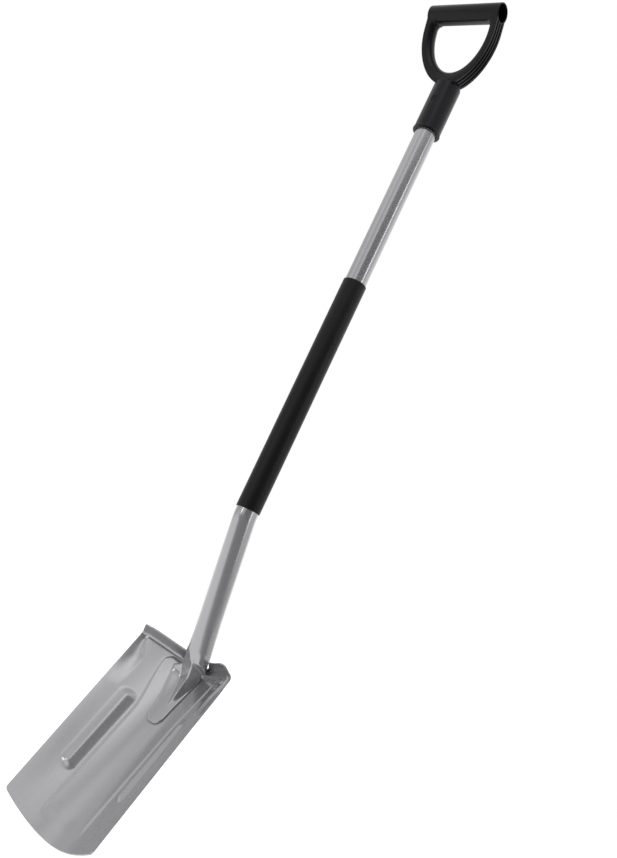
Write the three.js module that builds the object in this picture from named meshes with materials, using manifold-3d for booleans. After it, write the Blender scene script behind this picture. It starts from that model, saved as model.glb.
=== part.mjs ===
// Garden spade with a dished steel blade, forward-folded treads, a cranked tubular shaft,
// a slip-on grip sleeve and a moulded D handle. Millimetres, +Z up along the upper shaft,
// +X across the blade, and the hollow front of the blade faces -Y.
import * as THREE from "three";
import { mergeVertices } from "three/addons/utils/BufferGeometryUtils.js";
import Module from "manifold-3d";

const wasm = await Module();
wasm.setup();

const { lerp, smoothstep, degToRad } = THREE.MathUtils;

// Clearances
const seatGap = 0.3;
const cutOverrun = 2;

// Shaft: one tube, bent back at the knee and squeezed flat below the heel of the blade
const tubeDiameter = 32;
const tubeWall = 1.5;
const upperLength = 688;
const lowerLength = 218.5;
const kneeAngle = degToRad(10.8);
const kneeRadius = 60;
const heelRadius = 80;
const tongueLength = 90;
const tongueHalfWidth = 22;
const tongueOffset = 7;
const offsetStart = 6;
const offsetEnd = 10;
const tipLength = 34;
const tipCloseShare = 0.97;
const squeezeStart = 34;
const squeezeEnd = 8;
const ridgeHeight = 22;
const ridgeHalfWidth = 15;
const ridgeTipShare = 0.4;
const ridgeEnd = 66;
const crestSoftShare = 0.14;
const frontBlendShare = 0.45;
const shaftSides = 32;

// Blade: one pressed sheet
const bladeWidth = 168;
const bladeHeight = 257;
const sheetThickness = 2;
const bladeTilt = degToRad(24.1);
const dishAtEdge = 31.5;
const dishAtTread = 51;
const bellAtEdgeShare = 0.3;
const bellAtTreadShare = 0.5;
const edgeCrown = 16.3;
const foldCrown = 9;
const heelRise = 5;

// Treads folded forward at the top of the blade, with a round notch for the shaft between them
const foldAngle = degToRad(75);
const foldRadius = 6;
const treadDepth = 15;
const notchRadius = 24.5;

// Raised centre panel and the two long ribs beside it
const panelRaise = 1.8;
const panelHalfWidth = 36;
const panelFlare = 14;
const panelSlope = 11;
const panelFade = 24;
const panelFlareStart = 105;
const panelFlareEnd = 235;
const panelShoulder = 246;
const panelShoulderInset = 6;
const panelTopFade = 9;
const ribOffset = 51;
const ribHalfWidth = 10.5;
const ribHeight = 5;
const ribLow = 60;
const ribHigh = 190;

// Grip sleeve
const sleeveLength = 358;
const sleeveWall = 1.2;
const sleeveLip = 0.6;

// D handle
const socketWall = 4.2;
const socketGrip = 65;
const socketLip = 0.8;
const socketLipHeight = 3;
const socketFloor = 12;
const socketDome = 9;
const gripReach = 117.5;
const gripTilt = degToRad(16.3);
const gripSpan = 121.4;
const gripDiameter = 29.8;
const gripWall = 2.1;
const gripChamfer = 0.6;
const bowDrop = 25.5;
const bowDepth = 81;
const bowFoot = 6;
const bowThicknessTop = 13.9;
const bowThicknessBottom = 16.7;
const bowHalfTop = 12.3;
const bowHalfBottom = 15;
const bowFlat = 3.5;
const bowChamfer = 1.2;
const innerFillet = 8;
const filletStepShare = 0.7;
const grooveCount = 3;
const grooveWidth = 3.6;
const grooveDepth = 3.4;
const grooveSlope = 0.7;
const grooveRunOut = 10;

// Screw that holds the socket on the tube
const screwBelowPivot = 28.5;
const screwShankRadius = 1.9;
const screwHeadRadius = 4;
const screwHeadHeight = 1.4;
const screwLength = 12;
const screwRecessDepth = 1.8;

// Finishes
const silverPaint = { color: 0x9b9d9f, roughness: 0.38, metalness: 0.75 };
const blackVinyl = { color: 0x1d1d1f, roughness: 0.55, metalness: 0 };
const blackPlastic = { color: 0x222225, roughness: 0.42, metalness: 0 };
const blackSteel = { color: 0x18181a, roughness: 0.35, metalness: 0.6 };

const tubeRadius = tubeDiameter / 2;
const tongueThickness = 2 * tubeWall + seatGap;
const socketBore = tubeRadius + seatGap;
const socketRadius = socketBore + socketWall;
const gripRadius = gripDiameter / 2;
const bladeHalf = bladeWidth / 2;

// Geometry helpers

function meshFromArrays(positions, indices) {
  const geometry = new THREE.BufferGeometry();
  geometry.setAttribute("position", new THREE.Float32BufferAttribute(positions, 3));
  geometry.setIndex(indices);
  geometry.computeVertexNormals();
  return geometry;
}

function part(name, geometry, finish) {
  const mesh = new THREE.Mesh(geometry, new THREE.MeshStandardMaterial(finish));
  mesh.name = name;
  return mesh;
}

// Closed skin over a run of rings that have the same number of points
function loft(rings) {
  const sides = rings[0].length;
  const positions = rings.flat().flatMap((point) => point.toArray());
  const indices = [];
  for (let row = 0; row + 1 < rings.length; row++) {
    for (let side = 0; side < sides; side++) {
      const next = (side + 1) % sides;
      const [a, b] = [row * sides + side, row * sides + next];
      const [c, d] = [a + sides, b + sides];
      indices.push(a, b, d, a, d, c);
    }
  }
  const last = (rings.length - 1) * sides;
  for (let side = 1; side + 1 < sides; side++) {
    indices.push(0, side + 1, side);
    indices.push(last, last + side, last + side + 1);
  }
  return meshFromArrays(positions, indices);
}

// Solid sheet: a skin, its copy set back along the skin's normals, and a rim round every free edge
function thicken(positions, indices, thickness) {
  const skin = meshFromArrays(positions, indices);
  const normals = skin.getAttribute("normal");
  const count = positions.length / 3;
  const all = [...positions];
  for (let i = 0; i < count; i++) {
    all.push(positions[3 * i] - thickness * normals.getX(i));
    all.push(positions[3 * i + 1] - thickness * normals.getY(i));
    all.push(positions[3 * i + 2] - thickness * normals.getZ(i));
  }
  const faces = [...indices];
  const edges = new Set();
  for (let i = 0; i < indices.length; i += 3) {
    const [a, b, c] = indices.slice(i, i + 3);
    faces.push(count + a, count + c, count + b);
    edges.add(`${a} ${b}`).add(`${b} ${c}`).add(`${c} ${a}`);
  }
  for (const edge of edges) {
    const [a, b] = edge.split(" ").map(Number);
    if (edges.has(`${b} ${a}`)) continue;
    faces.push(b, a, count + a, b, count + a, count + b);
  }
  return meshFromArrays(all, faces);
}

function toManifold(geometry) {
  const bare = geometry.clone();
  bare.deleteAttribute("normal");
  bare.deleteAttribute("uv");
  const merged = mergeVertices(bare);
  const vertProperties = new Float32Array(merged.getAttribute("position").array);
  const triVerts = new Uint32Array(merged.getIndex().array);
  return new wasm.Manifold(new wasm.Mesh({ numProp: 3, vertProperties, triVerts }));
}

function fromManifold(solid) {
  const mesh = solid.getMesh();
  return meshFromArrays([...mesh.vertProperties], [...mesh.triVerts]);
}

// Body of revolution round the Z axis, from [radius, height] pairs
function turned(points, sides) {
  const profile = points.map(([radius, height]) => new THREE.Vector2(radius, height));
  return new THREE.LatheGeometry(profile, sides).rotateX(Math.PI / 2);
}

// Shaft spine: the tube's rear line in the side plane, walked from the top end downwards.
// Each stretch has a length and the angle it turns through, positive towards +Y.
const heelAngle = Math.atan2(dishAtTread - dishAtEdge, bladeHeight);
const centreTilt = bladeTilt + heelAngle;
const heelTurn = kneeAngle + centreTilt;
const kneeTangent = kneeRadius * Math.tan(kneeAngle / 2);
const heelTangent = heelRadius * Math.tan(heelTurn / 2);
const kneeRise = tubeRadius * Math.tan(kneeAngle / 2);
const spineStretches = [
  { length: upperLength + kneeRise - kneeTangent, turn: 0 },
  { length: kneeRadius * kneeAngle, turn: kneeAngle },
  { length: lowerLength - kneeTangent - heelTangent, turn: 0 },
  { length: heelRadius * heelTurn, turn: -heelTurn },
  { length: tongueLength - heelTangent, turn: 0 },
];
const stretchEnds = [];
for (const { length } of spineStretches) {
  const start = stretchEnds.at(-1) ?? 0;
  stretchEnds.push(start + length);
}
const heelAlong = stretchEnds[2] + spineStretches[3].length / 2;
const tipAlong = stretchEnds[4];

function spineAt(along) {
  let [y, z, angle, left] = [tubeRadius, upperLength, 0, along];
  for (const { length, turn } of spineStretches) {
    const step = Math.min(length, left);
    const bend = turn * (step / length);
    const radius = turn === 0 ? 0 : length / turn;
    if (turn === 0) {
      y += step * Math.sin(angle);
      z -= step * Math.cos(angle);
    } else {
      y += radius * (Math.cos(angle) - Math.cos(angle + bend));
      z -= radius * (Math.sin(angle + bend) - Math.sin(angle));
    }
    angle += bend;
    left -= step;
    if (left <= 0) break;
  }
  return { y, z, angle };
}

// Blade surface: depth of the front face behind the line of the side edges
function dishAt(up) {
  return lerp(dishAtEdge, dishAtTread, up / bladeHeight);
}

function bellShare(x, up) {
  const arch = 1 - (x / bladeHalf) ** 2;
  const bell = lerp(bellAtEdgeShare, bellAtTreadShare, up / bladeHeight);
  return lerp(arch, arch * arch, bell);
}

// Slope of the dish across the blade
function dishSlope(x, up) {
  const arch = 1 - (x / bladeHalf) ** 2;
  const bell = lerp(bellAtEdgeShare, bellAtTreadShare, up / bladeHeight);
  return (-2 * x * dishAt(up) * lerp(1, 2 * arch, bell)) / bladeHalf ** 2;
}

function panelShare(x, up) {
  const flare = panelFlare * smoothstep(up, panelFlareStart, panelFlareEnd);
  const pastShoulder = Math.max(0, up - panelShoulder) / (bladeHeight - panelShoulder);
  const half = panelHalfWidth + flare - panelShoulderInset * pastShoulder ** 2;
  const across = 1 - smoothstep(Math.abs(x), half - panelSlope, half);
  const top = bladeHeight + heelRise;
  return across * smoothstep(up, 0, panelFade) * (1 - smoothstep(up, top - panelTopFade, top));
}

function ribShare(x, up) {
  const nearest = THREE.MathUtils.clamp(up, ribLow + ribHalfWidth, ribHigh - ribHalfWidth);
  const away = Math.hypot(Math.abs(x) - ribOffset, up - nearest) / ribHalfWidth;
  return away < 1 ? (1 - away * away) ** 2 : 0;
}

function faceDepth(x, up) {
  return dishAt(up) * bellShare(x, up) - panelRaise * panelShare(x, up) - ribHeight * ribShare(x, up);
}

// Height share of the pinched ridge: straight flanks that meet in a rounded crest
function ridgeShare(x, half) {
  const softened = Math.hypot(x / half, crestSoftShare) - crestSoftShare;
  return Math.max(0, 1 - softened / (Math.hypot(1, crestSoftShare) - crestSoftShare));
}

// Shaft section at a place on the spine, as a ring of points round the tube.
// It passes from a round tube to flat flanges with a ridge between them; the flanges
// reach further on the left of the ridge than on the right.
function shaftRing(along, inset, sides) {
  const past = along - heelAlong;
  const flat = smoothstep(past, -squeezeStart, squeezeEnd);
  const ridgeLeft = THREE.MathUtils.clamp((ridgeEnd - past) / (ridgeEnd + squeezeEnd), 0, 1);
  const ridge = ridgeHeight * ridgeLeft;
  const ridgeHalf = lerp(ridgeHalfWidth * ridgeTipShare, ridgeHalfWidth, ridgeLeft);
  const offset = tongueOffset * smoothstep(past, -offsetStart, offsetEnd);
  const fromTip = Math.max(0, past - (tongueLength - tipLength)) / tipLength;
  const roundTip = Math.sqrt(Math.max(0, 1 - fromTip * fromTip));
  const thickness = tongueThickness - 2 * inset;
  const up = bladeHeight + heelRise - past * Math.cos(heelAngle);
  const { y, z, angle } = spineAt(along);
  return Array.from({ length: sides }, (_, i) => {
    const turn = (2 * Math.PI * i) / sides;
    const roundX = (tubeRadius - inset) * Math.sin(turn);
    const roundOut = tubeRadius - (tubeRadius - inset) * Math.cos(turn);
    const flange = roundTip * (tongueHalfWidth - Math.sign(roundX) * offset);
    const flatX = (inset > 0 ? ridgeHalf - inset : flange) * Math.sin(turn);
    const sag = dishAt(up) * (1 - bellShare(flatX, up));
    const front = smoothstep(-Math.cos(turn), -frontBlendShare, frontBlendShare);
    const flatOut = sag + inset + front * (thickness + ridge * ridgeShare(flatX, ridgeHalf));
    const x = lerp(roundX, flatX, flat);
    const out = lerp(roundOut, flatOut, flat);
    return new THREE.Vector3(x, y - out * Math.cos(angle), z - out * Math.sin(angle));
  });
}

function spread(from, to, steps) {
  return Array.from({ length: steps + 1 }, (_, i) => lerp(from, to, i / steps));
}

function makeShaft() {
  const kneeSteps = spread(stretchEnds[0], stretchEnds[1], 5);
  const tipStart = Math.asin(1 - (tongueLength - ridgeEnd) / tipLength);
  const squeezeSteps = spread(heelAlong - squeezeStart, heelAlong + ridgeEnd, 24);
  const tipSteps = spread(tipStart, (tipCloseShare * Math.PI) / 2, 6)
    .slice(1)
    .map((turn) => tipAlong - tipLength * (1 - Math.sin(turn)));
  const outerStops = [0, ...kneeSteps, ...squeezeSteps, ...tipSteps];
  const innerStops = [0, ...kneeSteps, ...squeezeSteps.slice(0, -5)];
  const inner = innerStops.reverse().map((along) => shaftRing(along, tubeWall, shaftSides));
  const outer = outerStops.map((along) => shaftRing(along, 0, shaftSides));
  const tube = toManifold(loft([...inner, ...outer]));
  const hole = toManifold(screwCutter(screwShankRadius + seatGap, socketRadius));
  return part("shaft", fromManifold(tube.subtract(hole)), silverPaint);
}

// Point of the blade's front skin: rows run up the face, round the fold and out along the tread.
// The fold turns towards the local normal of the dish, so the treads close in on the middle.
function bladePoint(x, row, rows) {
  const arch = 1 - (x / bladeHalf) ** 2;
  const foldStart = bladeHeight + foldCrown * arch - foldRadius * Math.tan(foldAngle / 2);
  if (row <= rows.face) {
    const up = lerp(-edgeCrown * arch, foldStart, row / rows.face);
    return new THREE.Vector3(x, faceDepth(x, up), up);
  }
  const bend = foldAngle * Math.min(1, (row - rows.face) / rows.fold);
  const out = treadDepth * Math.max(0, (row - rows.face - rows.fold) / rows.tread);
  const forward = foldRadius * (1 - Math.cos(bend)) + out * Math.sin(bend);
  const rise = foldRadius * Math.sin(bend) + out * Math.cos(bend);
  const lean = Math.atan(dishSlope(x, foldStart));
  return new THREE.Vector3(
    x + forward * Math.sin(lean),
    faceDepth(x, foldStart) - forward * Math.cos(lean),
    foldStart + rise,
  );
}

function makeBlade() {
  const rows = { face: 32, fold: 5, tread: 2 };
  const rowCount = rows.face + rows.fold + rows.tread;
  const columns = spread(-bladeHalf, bladeHalf, 36);
  const positions = [];
  for (let row = 0; row <= rowCount; row++) {
    for (const x of columns) positions.push(...bladePoint(x, row, rows).toArray());
  }
  const indices = [];
  for (let row = 0; row < rowCount; row++) {
    for (let i = 0; i + 1 < columns.length; i++) {
      const a = row * columns.length + i;
      const [b, c, d] = [a + 1, a + columns.length, a + columns.length + 1];
      const onLeft = columns[i] < 0;
      indices.push(...(onLeft ? [a, b, d, a, d, c] : [a, b, c, b, d, c]));
    }
  }
  const sheet = toManifold(thicken(positions, indices, sheetThickness));
  return part("blade", fromManifold(sheet.subtract(toManifold(notchCutter()))), silverPaint);
}

// Cylinder that touches the middle of the dish and cuts the treads apart round the shaft
function notchCutter() {
  const long = 2 * (treadDepth + cutOverrun);
  return new THREE.CylinderGeometry(notchRadius, notchRadius, long, 48)
    .rotateX(Math.PI / 2)
    .translate(0, dishAt(bladeHeight) - notchRadius, bladeHeight + long / 2);
}

function placeBlade(blade) {
  const heel = spineAt(stretchEnds[2]);
  const corner = {
    y: heel.y + heelTangent * Math.sin(heel.angle),
    z: heel.z - heelTangent * Math.cos(heel.angle),
  };
  const heelUp = bladeHeight + heelRise;
  const heelDepth = dishAt(heelUp) - panelRaise - seatGap / Math.cos(heelAngle);
  const holder = new THREE.Group();
  holder.rotation.x = -bladeTilt;
  const offset = new THREE.Vector3(0, heelDepth, heelUp).applyEuler(holder.rotation);
  holder.position.set(0, corner.y - offset.y, corner.z - offset.z);
  holder.add(blade);
  return holder;
}

// Grip sleeve, from the top of the knee upwards
function makeSleeve() {
  const inner = tubeRadius + seatGap;
  const outer = inner + sleeveWall;
  const low = kneeTangent;
  const high = low + sleeveLength;
  const profile = [
    [inner, low],
    [outer - sleeveLip, low],
    [outer, low + sleeveLip],
    [outer, high - sleeveLip],
    [outer - sleeveLip, high],
    [inner, high],
    [inner, low],
  ];
  return part("shaft_sleeve", turned(profile, 40), blackVinyl);
}

// D handle
const pivotHeight = upperLength + socketFloor;
const bowCentre = gripReach - bowDrop;
const bowHalfSpan = gripSpan / 2;
const openingHalf = bowHalfSpan - bowThicknessTop;
const openingDepth = bowDepth - bowThicknessBottom;
const barUnderside = gripReach - gripRadius;

// Outer and inner edge of the bow in the handle's own plane; side runs from -1 to 1
function bowStations() {
  const stations = [];
  const add = (angle, rise) => {
    const flare = Math.max(0, rise - (barUnderside - bowCentre - innerFillet));
    const fillet = innerFillet - Math.sqrt(innerFillet ** 2 - Math.min(flare, innerFillet) ** 2);
    const side = Math.sin(angle);
    const level = Math.cos(angle);
    const outerHeight = bowCentre + rise - bowDepth * level - bowFoot * level ** 4;
    const innerHeight = bowCentre + rise - openingDepth * level;
    const belowBar = gripReach - bowCentre - rise;
    stations.push({
      outer: new THREE.Vector2(bowHalfSpan * side, outerHeight),
      inner: new THREE.Vector2((openingHalf - fillet) * side, innerHeight),
      half: lerp(bowHalfBottom, bowHalfTop, Math.abs(side)),
      groove: smoothstep(belowBar, gripRadius / 2, gripRadius / 2 + grooveRunOut)
        * smoothstep(Math.abs(bowHalfSpan * side), socketRadius, socketRadius + grooveRunOut),
    });
  };
  const filletRise = barUnderside - bowCentre - innerFillet;
  const filletMiddle = filletRise + filletStepShare * innerFillet;
  const rises = [bowDrop, barUnderside - bowCentre, filletMiddle, filletRise, 0];
  rises.forEach((rise) => add(Math.PI / 2, rise));
  spread(Math.PI / 2, -Math.PI / 2, 28).slice(1, -1).forEach((angle) => add(angle, 0));
  rises.reverse().forEach((rise) => add(-Math.PI / 2, rise));
  return stations;
}

// Section of the bow: a ribbed outer face and a rounded inner side
function bowRing({ outer, inner, half, groove }) {
  const inward = inner.clone().sub(outer);
  const thickness = inward.length();
  inward.normalize();
  const outline = [[-half, bowFlat], [-half, bowChamfer], [-half + bowChamfer, 0]];
  const pitch = (2 * half) / (grooveCount + 1);
  for (let i = 1; i <= grooveCount; i++) {
    const middle = -half + i * pitch;
    const lip = grooveWidth / 2;
    const floor = lip - grooveSlope;
    const depth = grooveDepth * groove;
    outline.push([middle - lip, 0], [middle - floor, depth], [middle + floor, depth], [middle + lip, 0]);
  }
  outline.push([half - bowChamfer, 0], [half, bowChamfer], [half, bowFlat]);
  for (const turn of spread(0, Math.PI, 10).slice(1, -1)) {
    outline.push([half * Math.cos(turn), bowFlat + (thickness - bowFlat) * Math.sin(turn)]);
  }
  return outline.reverse().map(([across, inwards]) => {
    const point = outer.clone().addScaledVector(inward, inwards);
    return new THREE.Vector3(point.x, across, point.y);
  });
}

function makeCrossbar() {
  const [end, rim] = [gripSpan / 2, gripRadius];
  const profile = [
    [0, -end],
    [rim - gripChamfer, -end],
    [rim, -end + gripChamfer],
    [rim, end - gripChamfer],
    [rim - gripChamfer, end],
    [0, end],
  ];
  return turned(profile, 40).rotateY(Math.PI / 2).translate(0, 0, gripReach);
}

function crossbarBore() {
  const long = gripSpan + 2 * cutOverrun;
  return new THREE.CylinderGeometry(gripRadius - gripWall, gripRadius - gripWall, long, 32)
    .rotateZ(Math.PI / 2).translate(0, 0, gripReach);
}

function makeSocket() {
  const low = upperLength - socketGrip;
  const shoulder = pivotHeight + bowCentre - bowDepth - bowFoot;
  const dome = spread(0, Math.PI / 2, 5).map((a) => [
    socketRadius * Math.cos(a),
    shoulder + socketDome * Math.sin(a),
  ]);
  dome[dome.length - 1][0] = 0;
  return turned([
    [0, low],
    [socketRadius + socketLip - gripChamfer, low],
    [socketRadius + socketLip, low + gripChamfer],
    [socketRadius + socketLip, low + socketLipHeight - socketLip],
    [socketRadius, low + socketLipHeight],
    ...dome,
  ], 44);
}

function socketBoreCutter() {
  const depth = socketGrip + seatGap + cutOverrun;
  return new THREE.CylinderGeometry(socketBore, socketBore, depth, 40)
    .rotateX(Math.PI / 2).translate(0, 0, upperLength + seatGap - depth / 2);
}

// Cylinder on the screw's axis, from the shaft's axis out to the front
function screwCutter(radius, outTo, outFrom = 0) {
  const long = outTo - outFrom;
  return new THREE.CylinderGeometry(radius, radius, long, 20)
    .translate(0, -outFrom - long / 2, pivotHeight - screwBelowPivot);
}

function makeHandle() {
  const bow = toManifold(loft(bowStations().map(bowRing)));
  const bar = toManifold(makeCrossbar());
  const tilt = new THREE.Matrix4().makeRotationX(gripTilt).setPosition(0, 0, pivotHeight);
  const upright = bow.add(bar).subtract(toManifold(crossbarBore()));
  const grip = toManifold(fromManifold(upright).applyMatrix4(tilt));
  const recessFrom = socketRadius - screwRecessDepth;
  const handle = grip.add(toManifold(makeSocket()))
    .subtract(toManifold(socketBoreCutter()))
    .subtract(toManifold(screwCutter(screwHeadRadius + seatGap, socketRadius + cutOverrun, recessFrom)))
    .subtract(toManifold(screwCutter(screwShankRadius + seatGap, socketRadius)));
  return part("grip_handle", fromManifold(handle), blackPlastic);
}

// Pan-head screw, lathed along its axis and turned to point into the socket
function makeScrew() {
  const seat = socketRadius - screwRecessDepth + seatGap;
  const crown = screwHeadHeight / 2;
  const profile = [
    [0, -screwLength],
    [screwShankRadius / 2, -screwLength],
    [screwShankRadius, -screwLength + 2 * screwShankRadius],
    [screwShankRadius, 0],
    [screwHeadRadius, 0],
    [screwHeadRadius, crown],
    [screwHeadRadius - crown, screwHeadHeight],
    [0, screwHeadHeight],
  ];
  const screw = part("handle_screw", turned(profile, 24), blackSteel);
  screw.rotation.x = Math.PI / 2;
  screw.position.set(0, -seat, pivotHeight - screwBelowPivot);
  return screw;
}

// Assembly, stood on the lowest point of the cutting edge
const spade = new THREE.Group();
spade.add(placeBlade(makeBlade()), makeShaft(), makeSleeve(), makeHandle(), makeScrew());
const bounds = new THREE.Box3().setFromObject(spade, true);
const middle = bounds.getCenter(new THREE.Vector3());
spade.position.set(-middle.x, -middle.y, -bounds.min.z);

const root = new THREE.Group();
root.add(spade);

export default root;
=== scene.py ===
"""Garden spade with a pressed steel blade, a cranked tubular shaft, a grip sleeve and a D handle."""

import math

import bmesh
import bpy
import numpy as np
from bpy.props import FloatProperty, FloatVectorProperty, IntProperty, PointerProperty, StringProperty
from mathutils import Matrix, Vector


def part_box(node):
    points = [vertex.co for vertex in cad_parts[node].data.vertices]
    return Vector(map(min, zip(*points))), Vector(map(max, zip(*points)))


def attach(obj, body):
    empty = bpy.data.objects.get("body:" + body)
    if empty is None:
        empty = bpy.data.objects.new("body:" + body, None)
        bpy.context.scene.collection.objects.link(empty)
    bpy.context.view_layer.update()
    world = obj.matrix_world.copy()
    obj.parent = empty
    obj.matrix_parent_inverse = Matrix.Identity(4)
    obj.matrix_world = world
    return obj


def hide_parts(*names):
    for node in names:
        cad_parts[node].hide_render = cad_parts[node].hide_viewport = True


bl_info = {
    "name": "Garden Spade",
    "version": (1, 0, 0),
    "blender": (4, 5, 0),
    "location": "3D Viewport > Sidebar > Spade",
    "description": "Builds a steel garden spade on its fixed frame and sets it in a plain studio",
    "category": "Add Mesh",
}

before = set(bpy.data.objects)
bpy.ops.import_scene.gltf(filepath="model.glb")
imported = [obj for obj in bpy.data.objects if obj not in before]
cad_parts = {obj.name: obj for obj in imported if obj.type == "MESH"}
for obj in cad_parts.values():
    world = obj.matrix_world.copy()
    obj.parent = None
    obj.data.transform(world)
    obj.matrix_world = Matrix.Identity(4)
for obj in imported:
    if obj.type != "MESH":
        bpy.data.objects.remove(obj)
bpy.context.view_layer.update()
sleeve_low, sleeve_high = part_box("shaft_sleeve")

MM = 0.001
SEAT_GAP = 0.3 * MM
CLOSE = 0.001 * MM


# Sizes that a user may change

def number_prop(name, description, default, **settings):
    return FloatProperty(name=name, description=description, default=default, **settings)


def length_prop(name, description, default):
    return number_prop(name, description, default, unit="LENGTH")


def angle_prop(name, description, degrees):
    return number_prop(name, description, math.radians(degrees), subtype="ANGLE")


def pair_prop(name, description, default):
    return FloatVectorProperty(name=name, description=description, size=2, default=default,
                               unit="LENGTH")


def place_prop(name, description, default):
    return FloatVectorProperty(name=name, description=description, size=3, default=default,
                               subtype="TRANSLATION")


def colour_prop(name, description, default):
    return StringProperty(name=name, description=description, default=default)


class BladeSizes(bpy.types.PropertyGroup):
    width: length_prop("Width", "Across the front face", 0.168)
    height: length_prop("Height", "Side edges, from corner to fold", 0.257)
    sheet: length_prop("Sheet", "Thickness of the steel", 0.002)
    tilt: angle_prop("Tilt", "Lean of the side edges from upright", 24.1)
    dish_low: length_prop("Dish at edge", "Hollow at the cutting edge", 0.0315)
    dish_high: length_prop("Dish at treads", "Hollow at the treads", 0.051)
    edge_crown: length_prop("Edge crown", "Rise of the cutting edge's curve", 0.0163)
    fold_crown: length_prop("Fold crown", "Rise of the fold line at the middle", 0.009)
    fold_angle: angle_prop("Fold", "How far the treads are folded", 75)
    fold_radius: length_prop("Fold radius", "Inside radius of the fold", 0.006)
    tread_depth: length_prop("Tread depth", "Flat of a tread past its fold", 0.015)
    notch_radius: length_prop("Notch radius", "Round notch for the shaft, between the treads", 0.019)
    panel_raise: length_prop("Panel", "Height of the raised middle", 0.0018)
    rib_height: length_prop("Rib height", "Height of the two ribs", 0.0043)
    rib_offset: length_prop("Rib offset", "From the middle to a rib's line", 0.051)
    corner_radius: length_prop("Corner radius", "Rounding of the sheet's corners", 0.004)


class ShaftSizes(bpy.types.PropertyGroup):
    diameter: length_prop("Tube", "Outside diameter of the tube", 0.032)
    upper: length_prop("Upper length", "From the knee to the top end", 0.688)
    lower: length_prop("Lower length", "From the knee to the heel", 0.2185)
    knee: angle_prop("Knee", "Bend below the sleeve", 10.8)
    knee_radius: length_prop("Knee radius", "Bend radius of the knee", 0.06)
    heel_radius: length_prop("Heel radius", "Bend radius at the heel", 0.08)
    tongue: length_prop("Tongue", "From the heel to the flat tip", 0.093)
    throat_half: length_prop("Throat half width", "Half width of the shaft between the treads", 0.019)
    reach_left: pair_prop("Left reach", "Flattened end left of its ridge, at heel and tip",
                          (0.034, 0.018))
    reach_right: pair_prop("Right reach", "Flattened end right of its ridge, at heel and tip",
                           (0.0125, 0.008))
    tip_length: length_prop("Tip", "Length of the flattened end's round tip", 0.013)
    ridge: length_prop("Ridge", "Height of the pinched ridge at the heel", 0.0225)
    ridge_feet: pair_prop("Ridge feet", "Width of the ridge's left and right flank", (0.022, 0.0125))


class SleeveSizes(bpy.types.PropertyGroup):
    length: length_prop("Length", "Length of the sleeve", sleeve_high[2] - sleeve_low[2])
    diameter: length_prop("Diameter", "Outside diameter of the sleeve", sleeve_high[0] - sleeve_low[0])
    wall: length_prop("Wall", "Wall of the sleeve", 0.0012)
    lip: length_prop("Lip", "Rounding of the ends", 0.0005)


class HandleSizes(bpy.types.PropertyGroup):
    reach: length_prop("Reach", "From the pivot to the crossbar's middle", 0.1175)
    tilt: angle_prop("Tilt", "Forward lean of the D", 16.3)
    span: length_prop("Span", "Length of the crossbar", 0.1214)
    bar: length_prop("Crossbar", "Diameter of the crossbar", 0.0298)
    bar_wall: length_prop("Crossbar wall", "Wall round its bore", 0.0021)
    socket: length_prop("Socket depth", "How far the socket grips the tube", 0.065)
    socket_wall: length_prop("Socket wall", "Wall of the socket", 0.0042)
    grooves: IntProperty(name="Grooves", description="Grooves along the bow's outer face",
                         default=3, min=0, max=6)
    groove_depth: length_prop("Groove depth", "Depth of a groove", 0.0034)


class StudioSettings(bpy.types.PropertyGroup):
    camera_at: place_prop("Camera", "Place of the camera from the knee",
                          (0.81175, -1.00425, -0.11487))
    camera_aim: place_prop("Aim", "Middle of the view from the knee", (0.02214, 0.01711, 0.14305))
    camera_roll: angle_prop("Roll", "Turn of the camera about its view", 25.08)
    lens: number_prop("Lens", "Focal length in millimetres for a 36 mm high frame", 39.874)
    key_power: number_prop("Softboxes", "Power of a full softbox", 5.25, subtype="POWER")
    sky_level: number_prop("Room light", "Level of the plain room light", 0.8)
    lamp_level: number_prop("Ceiling", "Extra level of the ceiling's lamp, in gloss", 0.7)
    dark_level: number_prop("Unlit side", "Level of the room's unlit side, in gloss", 0.1)
    dark_half: angle_prop("Unlit half angle", "Half width of the room's unlit side", 33)
    dark_top: angle_prop("Unlit height", "How high the room's unlit side reaches", 31)


class FinishColours(bpy.types.PropertyGroup):
    silver: colour_prop("Silver paint", "Hex colour of the paint", "#9A9A9D")
    plastic: colour_prop("Black plastic", "Hex colour of the handle", "#0D0D11")
    sleeve: colour_prop("Sleeve plastic", "Hex colour of the sleeve", "#0C0C0E")


GROUPS = {
    "spade_blade": BladeSizes,
    "spade_shaft": ShaftSizes,
    "spade_sleeve": SleeveSizes,
    "spade_handle": HandleSizes,
    "spade_studio": StudioSettings,
    "spade_colours": FinishColours,
}


# Shared arithmetic

TENT_FOOT = 0.06


def ease(value, low, high):
    """Smooth rise from 0 at low to 1 at high."""
    share = np.clip((value - low) / (high - low), 0.0, 1.0)
    return share * share * (3.0 - 2.0 * share)


def mix(a, b, share):
    return a + (b - a) * share


def tent(share, softness):
    """One at the middle and nothing at the foot, with straight flanks and a rounded crest."""
    reach = math.sqrt(1 + softness ** 2) - softness
    fall = 1 - (np.sqrt(share ** 2 + softness ** 2) - softness) / reach
    return (0.5 * (fall + np.sqrt(fall ** 2 + TENT_FOOT ** 2))
            - 0.5 * TENT_FOOT * np.exp(-np.maximum(fall, 0) / TENT_FOOT))


def linear(hex_colour):
    """sRGB hex colour as linear RGBA."""
    parts = [int(hex_colour[i:i + 2], 16) / 255 for i in (1, 3, 5)]
    return [p / 12.92 if p <= 0.04045 else ((p + 0.055) / 1.055) ** 2.4 for p in parts] + [1.0]


# Node and mesh helpers

def set_inputs(node, values):
    """Set the inputs of a node, or link them where the value is a socket."""
    for socket, value in values.items():
        if isinstance(value, bpy.types.NodeSocket):
            node.id_data.links.new(value, node.inputs[socket])
        else:
            node.inputs[socket].default_value = value


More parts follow.
